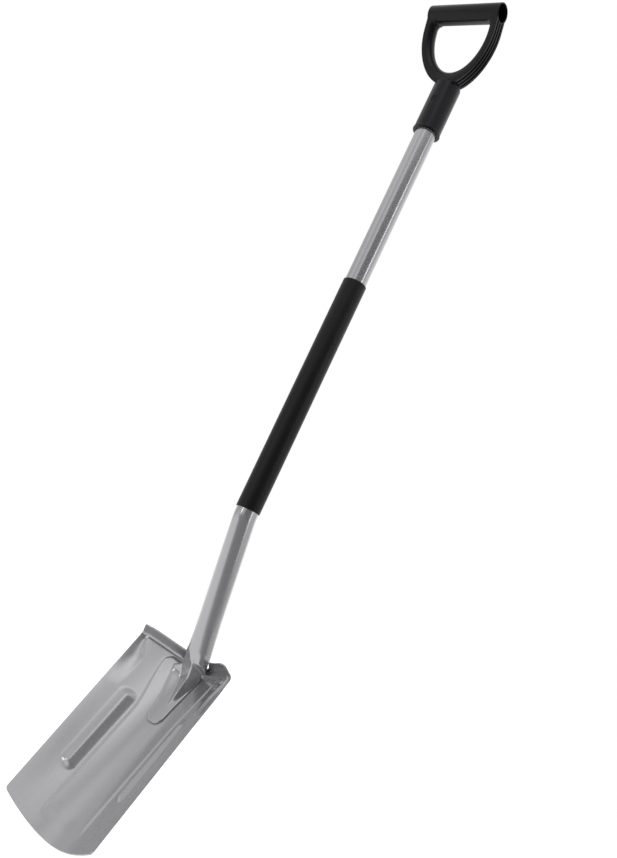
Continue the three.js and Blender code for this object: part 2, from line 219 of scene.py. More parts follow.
def add_node(tree, kind, inputs=None, **settings):
    made = tree.nodes.new(kind)
    for name, value in settings.items():
        setattr(made, name, value)
    set_inputs(made, inputs or {})
    return made


def maths(tree, operation, *values):
    """Result of a maths node on numbers."""
    return add_node(tree, "ShaderNodeMath", dict(enumerate(values)), operation=operation).outputs[0]


def vector_maths(tree, operation, *values):
    """Result of a maths node on vectors: a number for a dot product, or else a vector."""
    made = add_node(tree, "ShaderNodeVectorMath", dict(enumerate(values)), operation=operation)
    return made.outputs["Value" if operation == "DOT_PRODUCT" else "Vector"]


def remap(tree, value, source=(0.0, 1.0), target=(0.0, 1.0), curve="LINEAR"):
    """Value carried from one range to another, and held at its ends."""
    made = add_node(tree, "ShaderNodeMapRange",
                    {"Value": value, "From Min": source[0], "From Max": source[1],
                     "To Min": target[0], "To Max": target[1]}, interpolation_type=curve)
    return made.outputs[0]


def new_material(name):
    material = bpy.data.materials.new(name)
    material.use_nodes = True
    tree = material.node_tree
    return material, tree, tree.nodes["Principled BSDF"]


def mesh_object(name, points, faces):
    mesh = bpy.data.meshes.new(name)
    mesh.from_pydata([tuple(p) for p in points], [], faces)
    mesh.validate()
    mesh.update()
    piece = bpy.data.objects.new(name, mesh)
    bpy.context.scene.collection.objects.link(piece)
    return piece


def freeze(piece):
    """Apply every modifier by replacing the mesh with its evaluated copy."""
    graph = bpy.context.evaluated_depsgraph_get()
    mesh = bpy.data.meshes.new_from_object(piece.evaluated_get(graph))
    piece.modifiers.clear()
    old, piece.data = piece.data, mesh
    mesh.name = piece.name
    if old.users == 0:
        bpy.data.meshes.remove(old)
    return piece


def smooth_by_angle(piece, degrees):
    piece.data.polygons.foreach_set("use_smooth", [True] * len(piece.data.polygons))
    piece.data.set_sharp_from_angle(angle=math.radians(degrees))


def finish_piece(piece, material, slot, *nodes):
    """Give a piece its material, hang it under the root body and hide the CAD parts that it stands in
    for.
    """
    piece.data.materials.clear()
    piece.data.materials.append(material)
    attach(piece, "root")
    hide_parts(*nodes)
    return piece


def bands(rings, sides, start=0):
    """Faces between this many rings of points, which begin at the point numbered start."""
    faces = []
    for low in range(start, start + (rings - 1) * sides, sides):
        for side in range(sides):
            after = (side + 1) % sides
            faces.append((low + side, low + after, low + sides + after, low + sides + side))
    return faces


def loft(name, rings):
    """Closed skin over rings that have the same number of points."""
    sides = len(rings[0])
    points = np.concatenate(rings)
    faces = bands(len(rings), sides)
    last = (len(rings) - 1) * sides
    faces.append(tuple(reversed(range(sides))))
    faces.append(tuple(range(last, last + sides)))
    return mesh_object(name, points, faces)


def lathe(name, profile, sides, to_row):
    """Closed body of revolution from (radius, height) points that start and end on the axis."""
    turn = np.linspace(0, 2 * math.pi, sides, endpoint=False)
    first, *middle, last = profile
    points = [(0, 0, first[1])]
    points += [(r * math.cos(a), r * math.sin(a), z) for r, z in middle for a in turn]
    points.append((0, 0, last[1]))
    top = len(points) - 1
    faces = [(0, 1 + (i + 1) % sides, 1 + i) for i in range(sides)]
    faces += bands(len(middle), sides, start=1)
    start = 1 + (len(middle) - 1) * sides
    faces += [(start + i, start + (i + 1) % sides, top) for i in range(sides)]
    piece = mesh_object(name, points, faces)
    piece.data.transform(to_row)
    return piece


def cut_or_join(piece, other, operation):
    """Boolean a piece with another and discard the other."""
    step = piece.modifiers.new("cut", "BOOLEAN")
    step.operation = operation
    step.solver = "EXACT"
    step.object = other
    freeze(piece)
    bpy.data.objects.remove(other)
    return piece


def merge_doubles(piece, distance, recalculate):
    """Merge points that coincide and, where asked, turn the faces outwards."""
    work = bmesh.new()
    work.from_mesh(piece.data)
    bmesh.ops.remove_doubles(work, verts=work.verts, dist=distance)
    if recalculate:
        bmesh.ops.recalc_face_normals(work, faces=work.faces)
    work.to_mesh(piece.data)
    work.free()


class Spine:
    """The tube's rear line in the side plane, walked down from the top end in arcs and straights."""

    def __init__(self, shaft, blade):
        self.radius = shaft.diameter / 2
        self.heel_slope = math.atan2(blade.dish_high - blade.dish_low, blade.height)
        heel_turn = shaft.knee + blade.tilt + self.heel_slope
        self.knee_tangent = shaft.knee_radius * math.tan(shaft.knee / 2)
        self.heel_tangent = shaft.heel_radius * math.tan(heel_turn / 2)
        rise = self.radius * math.tan(shaft.knee / 2)
        self.top = shaft.upper
        self.stretches = [
            (shaft.upper + rise - self.knee_tangent, 0.0),
            (shaft.knee_radius * shaft.knee, shaft.knee),
            (shaft.lower - self.knee_tangent - self.heel_tangent, 0.0),
            (shaft.heel_radius * heel_turn, -heel_turn),
            (shaft.tongue - self.heel_tangent, 0.0),
        ]
        self.ends = list(np.cumsum([length for length, _ in self.stretches]))
        self.heel = self.ends[2] + self.stretches[3][0] / 2
        self.tip = self.ends[4]
        centre = [(low + high) / 2 for low, high in zip(sleeve_low, sleeve_high)]
        self.origin = np.array([centre[0], centre[1], sleeve_low[2] - self.knee_tangent])

    def at(self, along):
        """y, z and direction angle of the rear line, measured from the knee's axis point."""
        y, z, angle, left = self.radius, self.top, 0.0, along
        for length, turn in self.stretches:
            step = min(length, left)
            if turn == 0:
                y += step * math.sin(angle)
                z -= step * math.cos(angle)
            else:
                bend = turn * step / length
                radius = length / turn
                y += radius * (math.cos(angle) - math.cos(angle + bend))
                z -= radius * (math.sin(angle + bend) - math.sin(angle))
                angle += bend
            left -= step
            if left <= 0:
                break
        return y, z, angle


# Blade surface in its own frame: x across, up the sheet, and depth behind the side edges

# Height of the heel's corner above the side edges
HEEL_RISE = 5 * MM
# How far the dish is a bell and not an arch, at the edge and at the treads
BELL_SHARES = (0.3, 0.5)
# Ribs: crest and softness are shares of the half width
RIB_SPAN = (60 * MM, 190 * MM)
RIB_HALF = 11.5 * MM
RIB_CREST = -0.15
RIB_SOFTNESS = 0.2
RIB_POWER = 1.4
# Raised panel
PANEL_HALF = 38 * MM
PANEL_FLARE = 11 * MM
PANEL_FLARE_SPAN = (165 * MM, 250 * MM)
PANEL_SLOPE = 5 * MM
PANEL_FADE = 24 * MM
PANEL_SHOULDER = 246 * MM
PANEL_SHOULDER_INSET = 6 * MM
PANEL_TOP_FADE = 9 * MM
# Corner flutes: middle and half width low down and at the top, and the heights between which they run
FLUTE_MIDDLE = (74.5 * MM, 79 * MM)
FLUTE_HALF = (10.5 * MM, 4.5 * MM)
FLUTE_NARROWING = (222 * MM, 254 * MM)
FLUTE_START = (178 * MM, 228 * MM)
FLUTE_END = (251 * MM, 257 * MM)
FLUTE_DEPTH = 3 * MM
FLUTE_POWERS = (1.3, 2.0)
# Notch: how far its floor lies in front of the deepest line, and the steps in which it is measured
NOTCH_FLOOR = 4.5 * MM
NOTCH_STEPS = 1500
# Mesh of half a blade: columns, columns of the rounded corner, and rows of face, fold and tread
BLADE_COLUMNS = (86, 7)
BLADE_ROWS = (230, 10, 16)
RIM_ROUNDING = 0.5 * MM
RIM_ANGLE = math.radians(50)


def dish_at(blade, up):
    return mix(blade.dish_low, blade.dish_high, up / blade.height)


def arch_at(blade, x):
    """One in the middle of the blade and nothing at its side edges."""
    return 1 - (x / (blade.width / 2)) ** 2


def bell_at(blade, x, up):
    arch = arch_at(blade, x)
    return mix(arch, arch * arch, mix(*BELL_SHARES, up / blade.height))


def dish_slope(blade, x, up):
    """Slope of the dish across the blade."""
    bell = mix(*BELL_SHARES, up / blade.height)
    return -2 * x * dish_at(blade, up) * mix(1, 2 * arch_at(blade, x), bell) / (blade.width / 2) ** 2


def panel_at(blade, x, up):
    past = np.maximum(0, up - PANEL_SHOULDER) / (blade.height - PANEL_SHOULDER)
    half = PANEL_HALF + PANEL_FLARE * ease(up, *PANEL_FLARE_SPAN) - PANEL_SHOULDER_INSET * past ** 2
    top = blade.height + HEEL_RISE
    return ((1 - ease(np.abs(x), half - PANEL_SLOPE, half)) * ease(up, 0.0, PANEL_FADE)
            * (1 - ease(up, top - PANEL_TOP_FADE, top)))


def rib_at(blade, x, up):
    """Long ridge with a gentle outer flank, a crest line and a steep inner flank."""
    nearest = np.clip(up, RIB_SPAN[0] + RIB_HALF, RIB_SPAN[1] - RIB_HALF)
    across = (np.abs(x) - blade.rib_offset) / RIB_HALF - RIB_CREST
    across = np.where(across > 0, across / (1 - RIB_CREST), across / (1 + RIB_CREST))
    away = np.minimum(np.hypot(across, (up - nearest) / RIB_HALF), 1)
    whole = math.hypot(1, RIB_SOFTNESS) - RIB_SOFTNESS
    return (1 - (np.hypot(away, RIB_SOFTNESS) - RIB_SOFTNESS) / whole) ** RIB_POWER


def corner_marks(x, up):
    """Flute that the press leaves below each upper corner, crisp on its inner side."""
    narrowing = ease(up, *FLUTE_NARROWING)
    across = (np.abs(x) - mix(*FLUTE_MIDDLE, narrowing)) / mix(*FLUTE_HALF, narrowing)
    arch = 1 - np.minimum(across ** 2, 1)
    reach = ease(up, *FLUTE_START) * (1 - ease(up, *FLUTE_END))
    return FLUTE_DEPTH * reach * arch ** np.where(across < 0, *FLUTE_POWERS)


def face_depth(blade, x, up):
    return (dish_at(blade, up) * bell_at(blade, x, up) - blade.panel_raise * panel_at(blade, x, up)
            - blade.rib_height * rib_at(blade, x, up) + corner_marks(x, up))


def notch_at(blade, forward, start):
    """Half width of the round notch where the fold has turned this far forward of the face."""
    x = np.linspace(0, blade.width / 2, NOTCH_STEPS)
    lean = np.arctan(dish_slope(blade, x, start(x)))
    across = x + forward * np.sin(lean)
    depth = face_depth(blade, x, start(x)) - forward * np.cos(lean)
    centre = blade.dish_high - NOTCH_FLOOR - blade.notch_radius
    inside = np.hypot(across, depth - centre) < blade.notch_radius
    return x[inside].max() if inside.any() and forward > 0 else 0.0


def blade_front(blade, shares, rows):
    """Right half of the front face in rows of face, fold and tread; shares run outwards."""
    half, corner = blade.width / 2, blade.corner_radius

    def start(x):
        return (blade.height + blade.fold_crown * arch_at(blade, x)
                - blade.fold_radius * math.tan(blade.fold_angle / 2))

    x = half * shares
    over = np.clip(x - (half - corner), 0, corner)
    low = -blade.edge_crown * arch_at(blade, x) + corner - np.sqrt(corner ** 2 - over ** 2)
    grid = []
    for share in np.linspace(0, 1, rows[0] + 1):
        up = mix(low, start(x), share)
        grid.append(np.stack([x, face_depth(blade, x, up), up], axis=1))
    total = blade.fold_radius * blade.fold_angle + blade.tread_depth
    for i in range(1, rows[1] + rows[2] + 1):
        bend = blade.fold_angle * min(1.0, i / rows[1])
        out = blade.tread_depth * max(0.0, (i - rows[1]) / rows[2])
        forward = blade.fold_radius * (1 - math.cos(bend)) + out * math.sin(bend)
        from_edge = min(corner, total - blade.fold_radius * bend - out)
        inset = corner - math.sqrt(corner ** 2 - (corner - from_edge) ** 2)
        x = mix(notch_at(blade, forward, start), half - inset, shares)
        lean = np.arctan(dish_slope(blade, x, start(x)))
        grid.append(np.stack([
            x + forward * np.sin(lean),
            face_depth(blade, x, start(x)) - forward * np.cos(lean),
            start(x) + blade.fold_radius * math.sin(bend) + out * math.cos(bend),
        ], axis=1))
    return np.array(grid)


def blade_to_row(blade, spine):
    """Matrix that seats the blade behind the spine, leaning back by its tilt."""
    y, z, angle = spine.at(spine.ends[2])
    corner = (y + spine.heel_tangent * math.sin(angle), z - spine.heel_tangent * math.cos(angle))
    up = blade.height + HEEL_RISE
    depth = dish_at(blade, up) - blade.panel_raise - SEAT_GAP / math.cos(spine.heel_slope)
    lean = Matrix.Rotation(-blade.tilt, 4, "X")
    offset = lean @ Vector((0, depth, up))
    place = Vector(spine.origin) + Vector((0, corner[0] - offset.y, corner[1] - offset.z))
    return Matrix.Translation(place) @ lean


def make_blade(blade, spine):
    corner_share = 2 * blade.corner_radius / blade.width
    in_corner = np.sin(np.linspace(0, math.pi / 2, BLADE_COLUMNS[1]))
    shares = np.concatenate([np.linspace(0, 1 - corner_share, BLADE_COLUMNS[0]),
                             1 - corner_share * (1 - in_corner)[1:]])
    right = blade_front(blade, shares, BLADE_ROWS)
    grid = np.concatenate([right[:, ::-1] * (-1, 1, 1), right], axis=1)
    height, width = grid.shape[:2]
    faces = []
    for row in range(height - 1):
        for col in range(width - 1):
            if row < BLADE_ROWS[0] or col != width // 2 - 1:
                a = row * width + col
                faces.append((a, a + 1, a + width + 1, a + width))
    piece = mesh_object("blade_sheet", grid.reshape(-1, 3), faces)
    merge_doubles(piece, CLOSE / 10, recalculate=False)
    wall = piece.modifiers.new("sheet", "SOLIDIFY")
    wall.thickness = blade.sheet
    wall.offset = -1
    freeze(piece)
    rim = piece.modifiers.new("rim", "BEVEL")
    rim.width = RIM_ROUNDING
    rim.segments = 3
    rim.limit_method = "ANGLE"
    rim.angle_limit = RIM_ANGLE
    freeze(piece)
    piece.data.transform(blade_to_row(blade, spine))
    smooth_by_angle(piece, degrees=60)
    return piece


# Shaft, its lower end squeezed from a tube into flat flanges and a ridge

# Spans along the tube from the middle of its heel: the front, left flange and right side go flat
SQUEEZE_SPAN = (-30 * MM, 24 * MM)
FLANGE_SPAN = (-6 * MM, 9 * MM)
SQUEEZE_SPAN_RIGHT = (-8 * MM, 5 * MM)
# The squeezed tube is this much wider between the treads
SPREAD = 0.2
SPREAD_SPAN = (-75 * MM, -5 * MM)
THROAT_SPAN = (-4 * MM, 10 * MM)
TONGUE_TAPER = 85 * MM
TONGUE_THICKNESS = 3 * MM
# Ridge: where it ends and starts, its foot and the place of its crest at the end and at the heel
RIDGE_END = 62 * MM
RIDGE_FULL = 8 * MM
RIDGE_FOOT_AT_TIP = 2 * MM
CREST_LEAN = (-1 * MM, 5.5 * MM)
CREST_SOFTNESS = 0.14
# Shares round the tube, from -1 behind to 1 in front, over which a point belongs to the front
FRONT_SHARES = (-0.1, 0.6)
WALL_SHARES = (-0.3, 0.75)
RIDGE_SHARES = (-0.3, 0.3)
# Rings of the straight top, the knee, the lower length, the squeezed part and the round tip, which
# stops just short of a point
SHAFT_RINGS = (12, 16, 10, 110, 30)
TIP_CLOSING = 0.985 * math.pi / 2
SHAFT_SIDES = 160


def reach_at(shaft, past, ends):
    """Reach of the flattened section on one side of its ridge, past the middle of the heel."""
    tapered = mix(*ends, ease(past, 0.0, TONGUE_TAPER))
    return mix(shaft.throat_half, tapered, ease(past, *THROAT_SPAN))


def squeeze_at(past, across, forward):
    """How far points round the tube are squeezed flat: slowly in front, sharply at the sides."""
    left = mix(ease(past, *FLANGE_SPAN), ease(past, *SQUEEZE_SPAN), ease(forward, *FRONT_SHARES))
    return mix(left, ease(past, *SQUEEZE_SPAN_RIGHT), ease(across, 0, 1))


def shaft_ring(along, spine, shaft, blade):
    """Section of the tube, passing from round to flat flanges with a ridge between them."""
    past = along - spine.heel
    crest = shaft.ridge * np.clip((RIDGE_END - past) / (RIDGE_END + RIDGE_FULL), 0, 1)
    remaining = np.clip(1 - past / RIDGE_END, 0, 1)
    feet = (mix(RIDGE_FOOT_AT_TIP, shaft.ridge_feet[0], remaining),
            mix(RIDGE_FOOT_AT_TIP, shaft.ridge_feet[1], 1 - (1 - remaining) ** 2))
    crest_x = mix(*CREST_LEAN, remaining)
    tip_start = shaft.tongue - shaft.tip_length
    from_tip = max(0.0, past - tip_start) / shaft.tip_length
    left, right = (reach_at(shaft, past, ends) for ends in (shaft.reach_left, shaft.reach_right))
    tip_offset = (shaft.reach_left[1] - shaft.reach_right[1]) / 2
    up = blade.height + HEEL_RISE - past * math.cos(spine.heel_slope)
    y, z, angle = spine.at(along)
    turn = np.linspace(0, 2 * math.pi, SHAFT_SIDES, endpoint=False)
    across, forward = np.sin(turn), -np.cos(turn)
    flat = squeeze_at(past, across, forward)
    centred = math.sqrt(max(0.0, 1 - from_tip ** 2)) * across * (left + right) / 2 - tip_offset
    flat_x = mix(np.where(across < 0, left, right) * across, centred, ease(past, RIDGE_END, tip_start))
    sag = dish_at(blade, up) * (1 - bell_at(blade, flat_x, up))
    flank = np.where(flat_x < crest_x, feet[0] + crest_x, feet[1] - crest_x)
    ridge = crest * tent(np.abs(flat_x - crest_x) / flank, CREST_SOFTNESS)
    flat_out = (sag + TONGUE_THICKNESS * ease(forward, *WALL_SHARES)
                + ridge * ease(forward, *RIDGE_SHARES))
    spread = 1 + SPREAD * ease(past, *SPREAD_SPAN)
    x = mix(spine.radius * spread * across, flat_x, flat)
    out = mix(spine.radius * (1 + forward), flat_out, flat)
    return np.stack([spine.origin[0] + x,
                     spine.origin[1] + y - out * math.cos(angle),
                     spine.origin[2] + z - out * math.sin(angle)], axis=1)


def make_shaft(shaft, blade, spine):
    tip = [spine.tip - shaft.tip_length * (1 - math.sin(a))
           for a in np.linspace(0, TIP_CLOSING, SHAFT_RINGS[4])]
    bounds = [0, spine.ends[0], spine.ends[1], spine.heel + SQUEEZE_SPAN[0], tip[0]]
    runs = [np.linspace(low, high, count)[:-1]
            for low, high, count in zip(bounds, bounds[1:], SHAFT_RINGS)]
    rings = [shaft_ring(along, spine, shaft, blade) for along in np.concatenate([*runs, tip])]
    piece = loft("shaft_tube", rings)
    merge_doubles(piece, CLOSE, recalculate=True)
    smooth_by_angle(piece, degrees=50)
    return piece


# Sleeve: a closed wall profile carried round the tube

BORE_SIDES = 128


def sleeve_tree(material):
    tree = bpy.data.node_groups.new("Slip-on sleeve", "GeometryNodeTree")
    tree.is_modifier = True
    face = tree.interface
    for name in ("Bore radius", "Wall", "Length", "Lip rounding", "Base height"):
        face.new_socket(name, in_out="INPUT", socket_type="NodeSocketFloat")
    face.new_socket("Axis", in_out="INPUT", socket_type="NodeSocketVector")
    face.new_socket("Geometry", in_out="OUTPUT", socket_type="NodeSocketGeometry")
    given = add_node(tree, "NodeGroupInput").outputs
    radius = maths(tree, "ADD", given["Bore radius"], maths(tree, "MULTIPLY", given["Wall"], 0.5))
    path = add_node(tree, "GeometryNodeCurvePrimitiveCircle",
                    {"Resolution": BORE_SIDES, "Radius": radius})
    outline = add_node(tree, "GeometryNodeCurvePrimitiveQuadrilateral",
                       {"Width": given["Wall"], "Height": given["Length"]})
    rounded = add_node(tree, "GeometryNodeFilletCurve",
                       {"Curve": outline.outputs[0], "Radius": given["Lip rounding"], "Count": 4},
                       mode="POLY")
    wall = add_node(tree, "GeometryNodeCurveToMesh",
                    {"Curve": path.outputs[0], "Profile Curve": rounded.outputs[0]})
    height = maths(tree, "ADD", given["Base height"], maths(tree, "MULTIPLY", given["Length"], 0.5))
    lift = add_node(tree, "ShaderNodeCombineXYZ", {"Z": height}).outputs[0]
    moved = add_node(tree, "GeometryNodeTransform",
                     {"Geometry": wall.outputs[0],
                      "Translation": vector_maths(tree, "ADD", lift, given["Axis"])})
    real = add_node(tree, "GeometryNodeRealizeInstances", {"Geometry": moved.outputs[0]})
    coated = add_node(tree, "GeometryNodeSetMaterial",
                      {"Geometry": real.outputs[0], "Material": material})
    add_node(tree, "NodeGroupOutput", {"Geometry": coated.outputs[0]})
    return tree


def make_sleeve(sleeve, spine, material):
    piece = mesh_object("grip_sleeve", [], [])
    step = piece.modifiers.new("sleeve", "NODES")
    step.node_group = sleeve_tree(material)
    sockets = {s.name: s.identifier for s in step.node_group.interface.items_tree if s.in_out == "INPUT"}
    step[sockets["Bore radius"]] = sleeve.diameter / 2 - sleeve.wall
    step[sockets["Wall"]] = sleeve.wall
    step[sockets["Length"]] = sleeve.length
    step[sockets["Lip rounding"]] = sleeve.lip
    step[sockets["Base height"]] = sleeve_low[2]
    step[sockets["Axis"]] = (spine.origin[0], spine.origin[1], 0.0)
    freeze(piece)
    merge_doubles(piece, CLOSE, recalculate=True)
    smooth_by_angle(piece, degrees=40)
    return piece


# D handle

# Bow: its centre below the crossbar's middle, its depth, and its size at the bottom and at the sides
BOW_DROP = 25.5 * MM
BOW_DEPTH = 81 * MM
BOW_FOOT = 6 * MM
BOW_THICKNESS = (16.7 * MM, 13.9 * MM)
BOW_HALF = (15 * MM, 12.3 * MM)
BOW_FLAT = 3.5 * MM
BOW_EDGE = 1.2 * MM
INNER_FILLET = 8 * MM
FILLET_OVERLAP = 1.2 * MM
GROOVE_HALF = 1.8 * MM
GROOVE_SLOPE = 0.7 * MM
GROOVE_RUN_OUT = 10 * MM
SOCKET_FLOOR = 12 * MM
SOCKET_LIP = 0.8 * MM
SOCKET_LIP_HEIGHT = 3 * MM
SOCKET_DOME = 9 * MM
SOCKET_ROUNDING = 0.9 * MM
SOCKET_MOUTH = (0.5 * MM, 0.6 * MM)
# The grooves fade between these distances from the socket's wall
GROOVE_CLEAR = (-5 * MM, 2 * MM)
BAR_ROUNDING = 1.2 * MM
BAR_MOUTH = 0.8 * MM
# Width of the flat at a turned end, and how far a cutter passes the wall
END_FLAT = 3 * MM
CUT_PAST = 2 * MM
BOW_SIDES = (85, 33)
BOW_RINGS = 121
TURNED_SIDES = 160
# Rings of the domes of socket and screw, and sides of the screw's pocket and of the screw
DOME_RINGS = (13, 9)
SCREW_SIDES = (48, 64)
SCREW_BELOW_PIVOT = 28.5 * MM
SCREW_POCKET = 1.8 * MM
SCREW_HEAD = 4 * MM
SCREW_HEAD_HEIGHT = 1.4 * MM
SCREW_RIM_SHARE = 0.35
SCREW_SHANK = 1.9 * MM
SCREW_TAPER_START = 8.2 * MM
SCREW_LENGTH = 12 * MM
# Width, depth and half height of the two slots that cross in the head
CROSS_RECESS = (4.4 * MM, 0.9 * MM, 1.2 * MM)
CROSS_TURN = math.radians(28)


def bow_ring(handle, side_angle, rise):
    """Section of the bow: grooved outer face, rounded inner side."""
    centre = handle.reach - BOW_DROP
    half_span = handle.span / 2
    opening_half, opening_depth = half_span - BOW_THICKNESS[1], BOW_DEPTH - BOW_THICKNESS[0]
    underside = handle.reach - handle.bar / 2 + FILLET_OVERLAP
    flare = min(INNER_FILLET, max(0.0, rise - (underside - centre - INNER_FILLET)))
    fillet = INNER_FILLET - math.sqrt(INNER_FILLET ** 2 - flare ** 2)
    side, level = math.sin(side_angle), math.cos(side_angle)
    outer = np.array([half_span * side, centre + rise - BOW_DEPTH * level - BOW_FOOT * level ** 4])
    inner = np.array([(opening_half - fillet) * side, centre + rise - opening_depth * level])
    thickness = np.linalg.norm(inner - outer)
    inward = (inner - outer) / thickness
    half = mix(*BOW_HALF, abs(side))
    socket_radius = handle_socket_radius(handle)
    groove = (ease(handle.reach - centre - rise, handle.bar / 4, handle.bar / 4 + GROOVE_RUN_OUT)
              * ease(abs(half_span * side), *(socket_radius + clear for clear in GROOVE_CLEAR)))
    across = np.linspace(-half, half, BOW_SIDES[0])
    depth = np.zeros_like(across)
    pitch = 2 * half / (handle.grooves + 1)
    for i in range(1, handle.grooves + 1):
        away = np.abs(across - (-half + i * pitch))
        depth += handle.groove_depth * groove * (1 - ease(away, GROOVE_HALF - GROOVE_SLOPE, GROOVE_HALF))
    edge = np.clip(np.abs(across) - (half - BOW_EDGE), 0, BOW_EDGE)
    depth += BOW_EDGE - np.sqrt(BOW_EDGE ** 2 - edge ** 2)
    outline = list(zip(across, depth))
    for turn in np.linspace(0, math.pi, BOW_SIDES[1]):
        outline.append((half * math.cos(turn), BOW_FLAT + (thickness - BOW_FLAT) * math.sin(turn)))
    return np.array([(outer[0] + inward[0] * d, a, outer[1] + inward[1] * d) for a, d in outline])


def bow_rings(handle):
    centre = handle.reach - BOW_DROP
    underside = handle.reach - handle.bar / 2 + FILLET_OVERLAP
    fillet_start = underside - centre - INNER_FILLET
    rises = [BOW_DROP, (BOW_DROP + underside - centre) / 2]
    rises += [fillet_start + INNER_FILLET * math.sin(a) for a in np.linspace(math.pi / 2, 0, 9)]
    rises += list(np.linspace(fillet_start, 0, 4)[1:-1])
    rings = [bow_ring(handle, math.pi / 2, rise) for rise in rises]
    rings += [bow_ring(handle, a, 0.0) for a in np.linspace(math.pi / 2, -math.pi / 2, BOW_RINGS)]
    rings += [bow_ring(handle, -math.pi / 2, rise) for rise in reversed(rises)]
    return rings


def handle_socket_radius(handle):
    return bpy.context.scene.spade_shaft.diameter / 2 + SEAT_GAP + handle.socket_wall


def rounded(points, radius, steps=4):
    """Round the inner corners of an open (r, z) outline."""
    out = [points[0]]
    for before, here, after in zip(points, points[1:], points[2:]):
        p, a, b = np.array(here), np.array(before) - here, np.array(after) - here
        la, lb = np.linalg.norm(a), np.linalg.norm(b)
        reach = min(radius, la / 2, lb / 2)
        start, end = p + a / la * reach, p + b / lb * reach
        for t in np.linspace(0, 1, steps + 1):
            out.append(tuple((1 - t) ** 2 * start + 2 * t * (1 - t) * p + t * t * end))
    out.append(points[-1])
    return out


def screw_axis(spine):
    """Matrix from the screw's own frame, which looks up its axis, to the socket's front."""
    place = Vector(spine.origin) + Vector((0, 0, spine.top + SOCKET_FLOOR - SCREW_BELOW_PIVOT))
    return Matrix.Translation(place) @ Matrix.Rotation(math.pi / 2, 4, "X")


def make_handle(handle, spine):
    pivot = spine.top + SOCKET_FLOOR
    to_axis = Matrix.Translation(Vector(spine.origin))
    to_grip = to_axis @ Matrix.Translation((0, 0, pivot)) @ Matrix.Rotation(handle.tilt, 4, "X")
    across = to_grip @ Matrix.Translation((0, 0, handle.reach)) @ Matrix.Rotation(math.pi / 2, 4, "Y")
    bar, end = handle.bar / 2, handle.span / 2
    radius = handle_socket_radius(handle)
    bore = radius - handle.socket_wall
    low = spine.top - handle.socket
    shoulder = pivot + handle.reach - BOW_DROP - BOW_DEPTH - BOW_FOOT

    piece = loft("handle_moulding", bow_rings(handle))
    piece.data.transform(to_grip)
    merge_doubles(piece, CLOSE, recalculate=True)
    rim = bar - END_FLAT
    outline = rounded([(rim, -end), (bar, -end), (bar, end), (rim, end)], BAR_ROUNDING)
    crossbar = lathe("crossbar", [(0, -end), *outline, (0, end)], TURNED_SIDES, across)
    cut_or_join(piece, crossbar, "UNION")
    bar_bore = bar - handle.bar_wall
    mouth, past, inner = bar_bore + BAR_MOUTH, end + CUT_PAST, end - BAR_MOUTH
    outline = [(0, -past), (mouth, -past), (mouth, -end), (bar_bore, -inner),
               (bar_bore, inner), (mouth, end), (mouth, past), (0, past)]
    cut_or_join(piece, lathe("crossbar_bore", outline, BORE_SIDES, across), "DIFFERENCE")
    dome = [(radius * math.cos(a), shoulder + SOCKET_DOME * math.sin(a))
            for a in np.linspace(0, math.pi / 2, DOME_RINGS[0])[1:-1]]
    lip = radius + SOCKET_LIP
    outline = rounded([(radius - END_FLAT, low), (lip, low), (lip, low + SOCKET_LIP_HEIGHT - SOCKET_LIP),
                       (radius, low + SOCKET_LIP_HEIGHT), (radius, shoulder)], SOCKET_ROUNDING)
    outline = [(0, low), *outline, *dome, (0, shoulder + SOCKET_DOME)]
    cut_or_join(piece, lathe("socket", outline, TURNED_SIDES, to_axis), "UNION")
    mouth, below, floor = bore + SOCKET_MOUTH[0], low - CUT_PAST, spine.top + SEAT_GAP
    outline = [(0, below), (mouth, below), (mouth, low), (bore, low + SOCKET_MOUTH[1]),
               (bore, floor), (0, floor)]
    cut_or_join(piece, lathe("socket_bore", outline, BORE_SIDES, to_axis), "DIFFERENCE")
    wide, deep, past = SCREW_HEAD + SEAT_GAP, radius - SCREW_POCKET, radius + CUT_PAST
    outline = [(0, deep), (wide, deep), (wide, past), (0, past)]
    cut_or_join(piece, lathe("screw_pocket", outline, SCREW_SIDES[0], screw_axis(spine)), "DIFFERENCE")
    merge_doubles(piece, CLOSE, recalculate=True)
    smooth_by_angle(piece, degrees=35)
    return piece


def make_screw(handle, spine):
    """Pan head with a cross recess, seated in the socket's pocket."""
    seat = handle_socket_radius(handle) - SCREW_POCKET + SEAT_GAP
    forward = screw_axis(spine)
    dome = [(SCREW_HEAD * math.cos(a), seat + SCREW_HEAD_HEIGHT * mix(SCREW_RIM_SHARE, 1, math.sin(a)))
            for a in np.linspace(0, math.pi / 2, DOME_RINGS[1])[:-1]]
    end, taper = seat - SCREW_LENGTH, seat - SCREW_TAPER_START
    outline = [(0, end), (SCREW_SHANK / 2, end), (SCREW_SHANK, taper), (SCREW_SHANK, seat),
               (SCREW_HEAD, seat), *dome, (0, seat + SCREW_HEAD_HEIGHT)]
    piece = lathe("handle_screw_head", outline, SCREW_SIDES[1], forward)
    for turn in (0, math.pi / 2):
        slot = mesh_object("slot", *box_mesh(*CROSS_RECESS))
        slot.data.transform(forward @ Matrix.Translation((0, 0, seat + SCREW_HEAD_HEIGHT))
                            @ Matrix.Rotation(turn + CROSS_TURN, 4, "Z"))
        cut_or_join(piece, slot, "DIFFERENCE")
    smooth_by_angle(piece, degrees=35)
    return piece


def box_mesh(width, depth, height):
    """Points and faces of a box centred on the origin, of twice this height."""
    points = [(x * width / 2, y * depth / 2, z * height)
              for z in (-1, 1) for y in (-1, 1) for x in (-1, 1)]
    faces = [(0, 2, 3, 1), (4, 5, 7, 6), (0, 1, 5, 4), (2, 6, 7, 3), (0, 4, 6, 2), (1, 3, 7, 5)]
    return points, faces


# Finishes

# Flakes are near 0.05 mm; they are drawn at 1.4 mm so that they show from a step away
FLAKE = 1.4 * MM
FLAKE_TONE = 0.05
FLAKE_GLOSS = 0.02
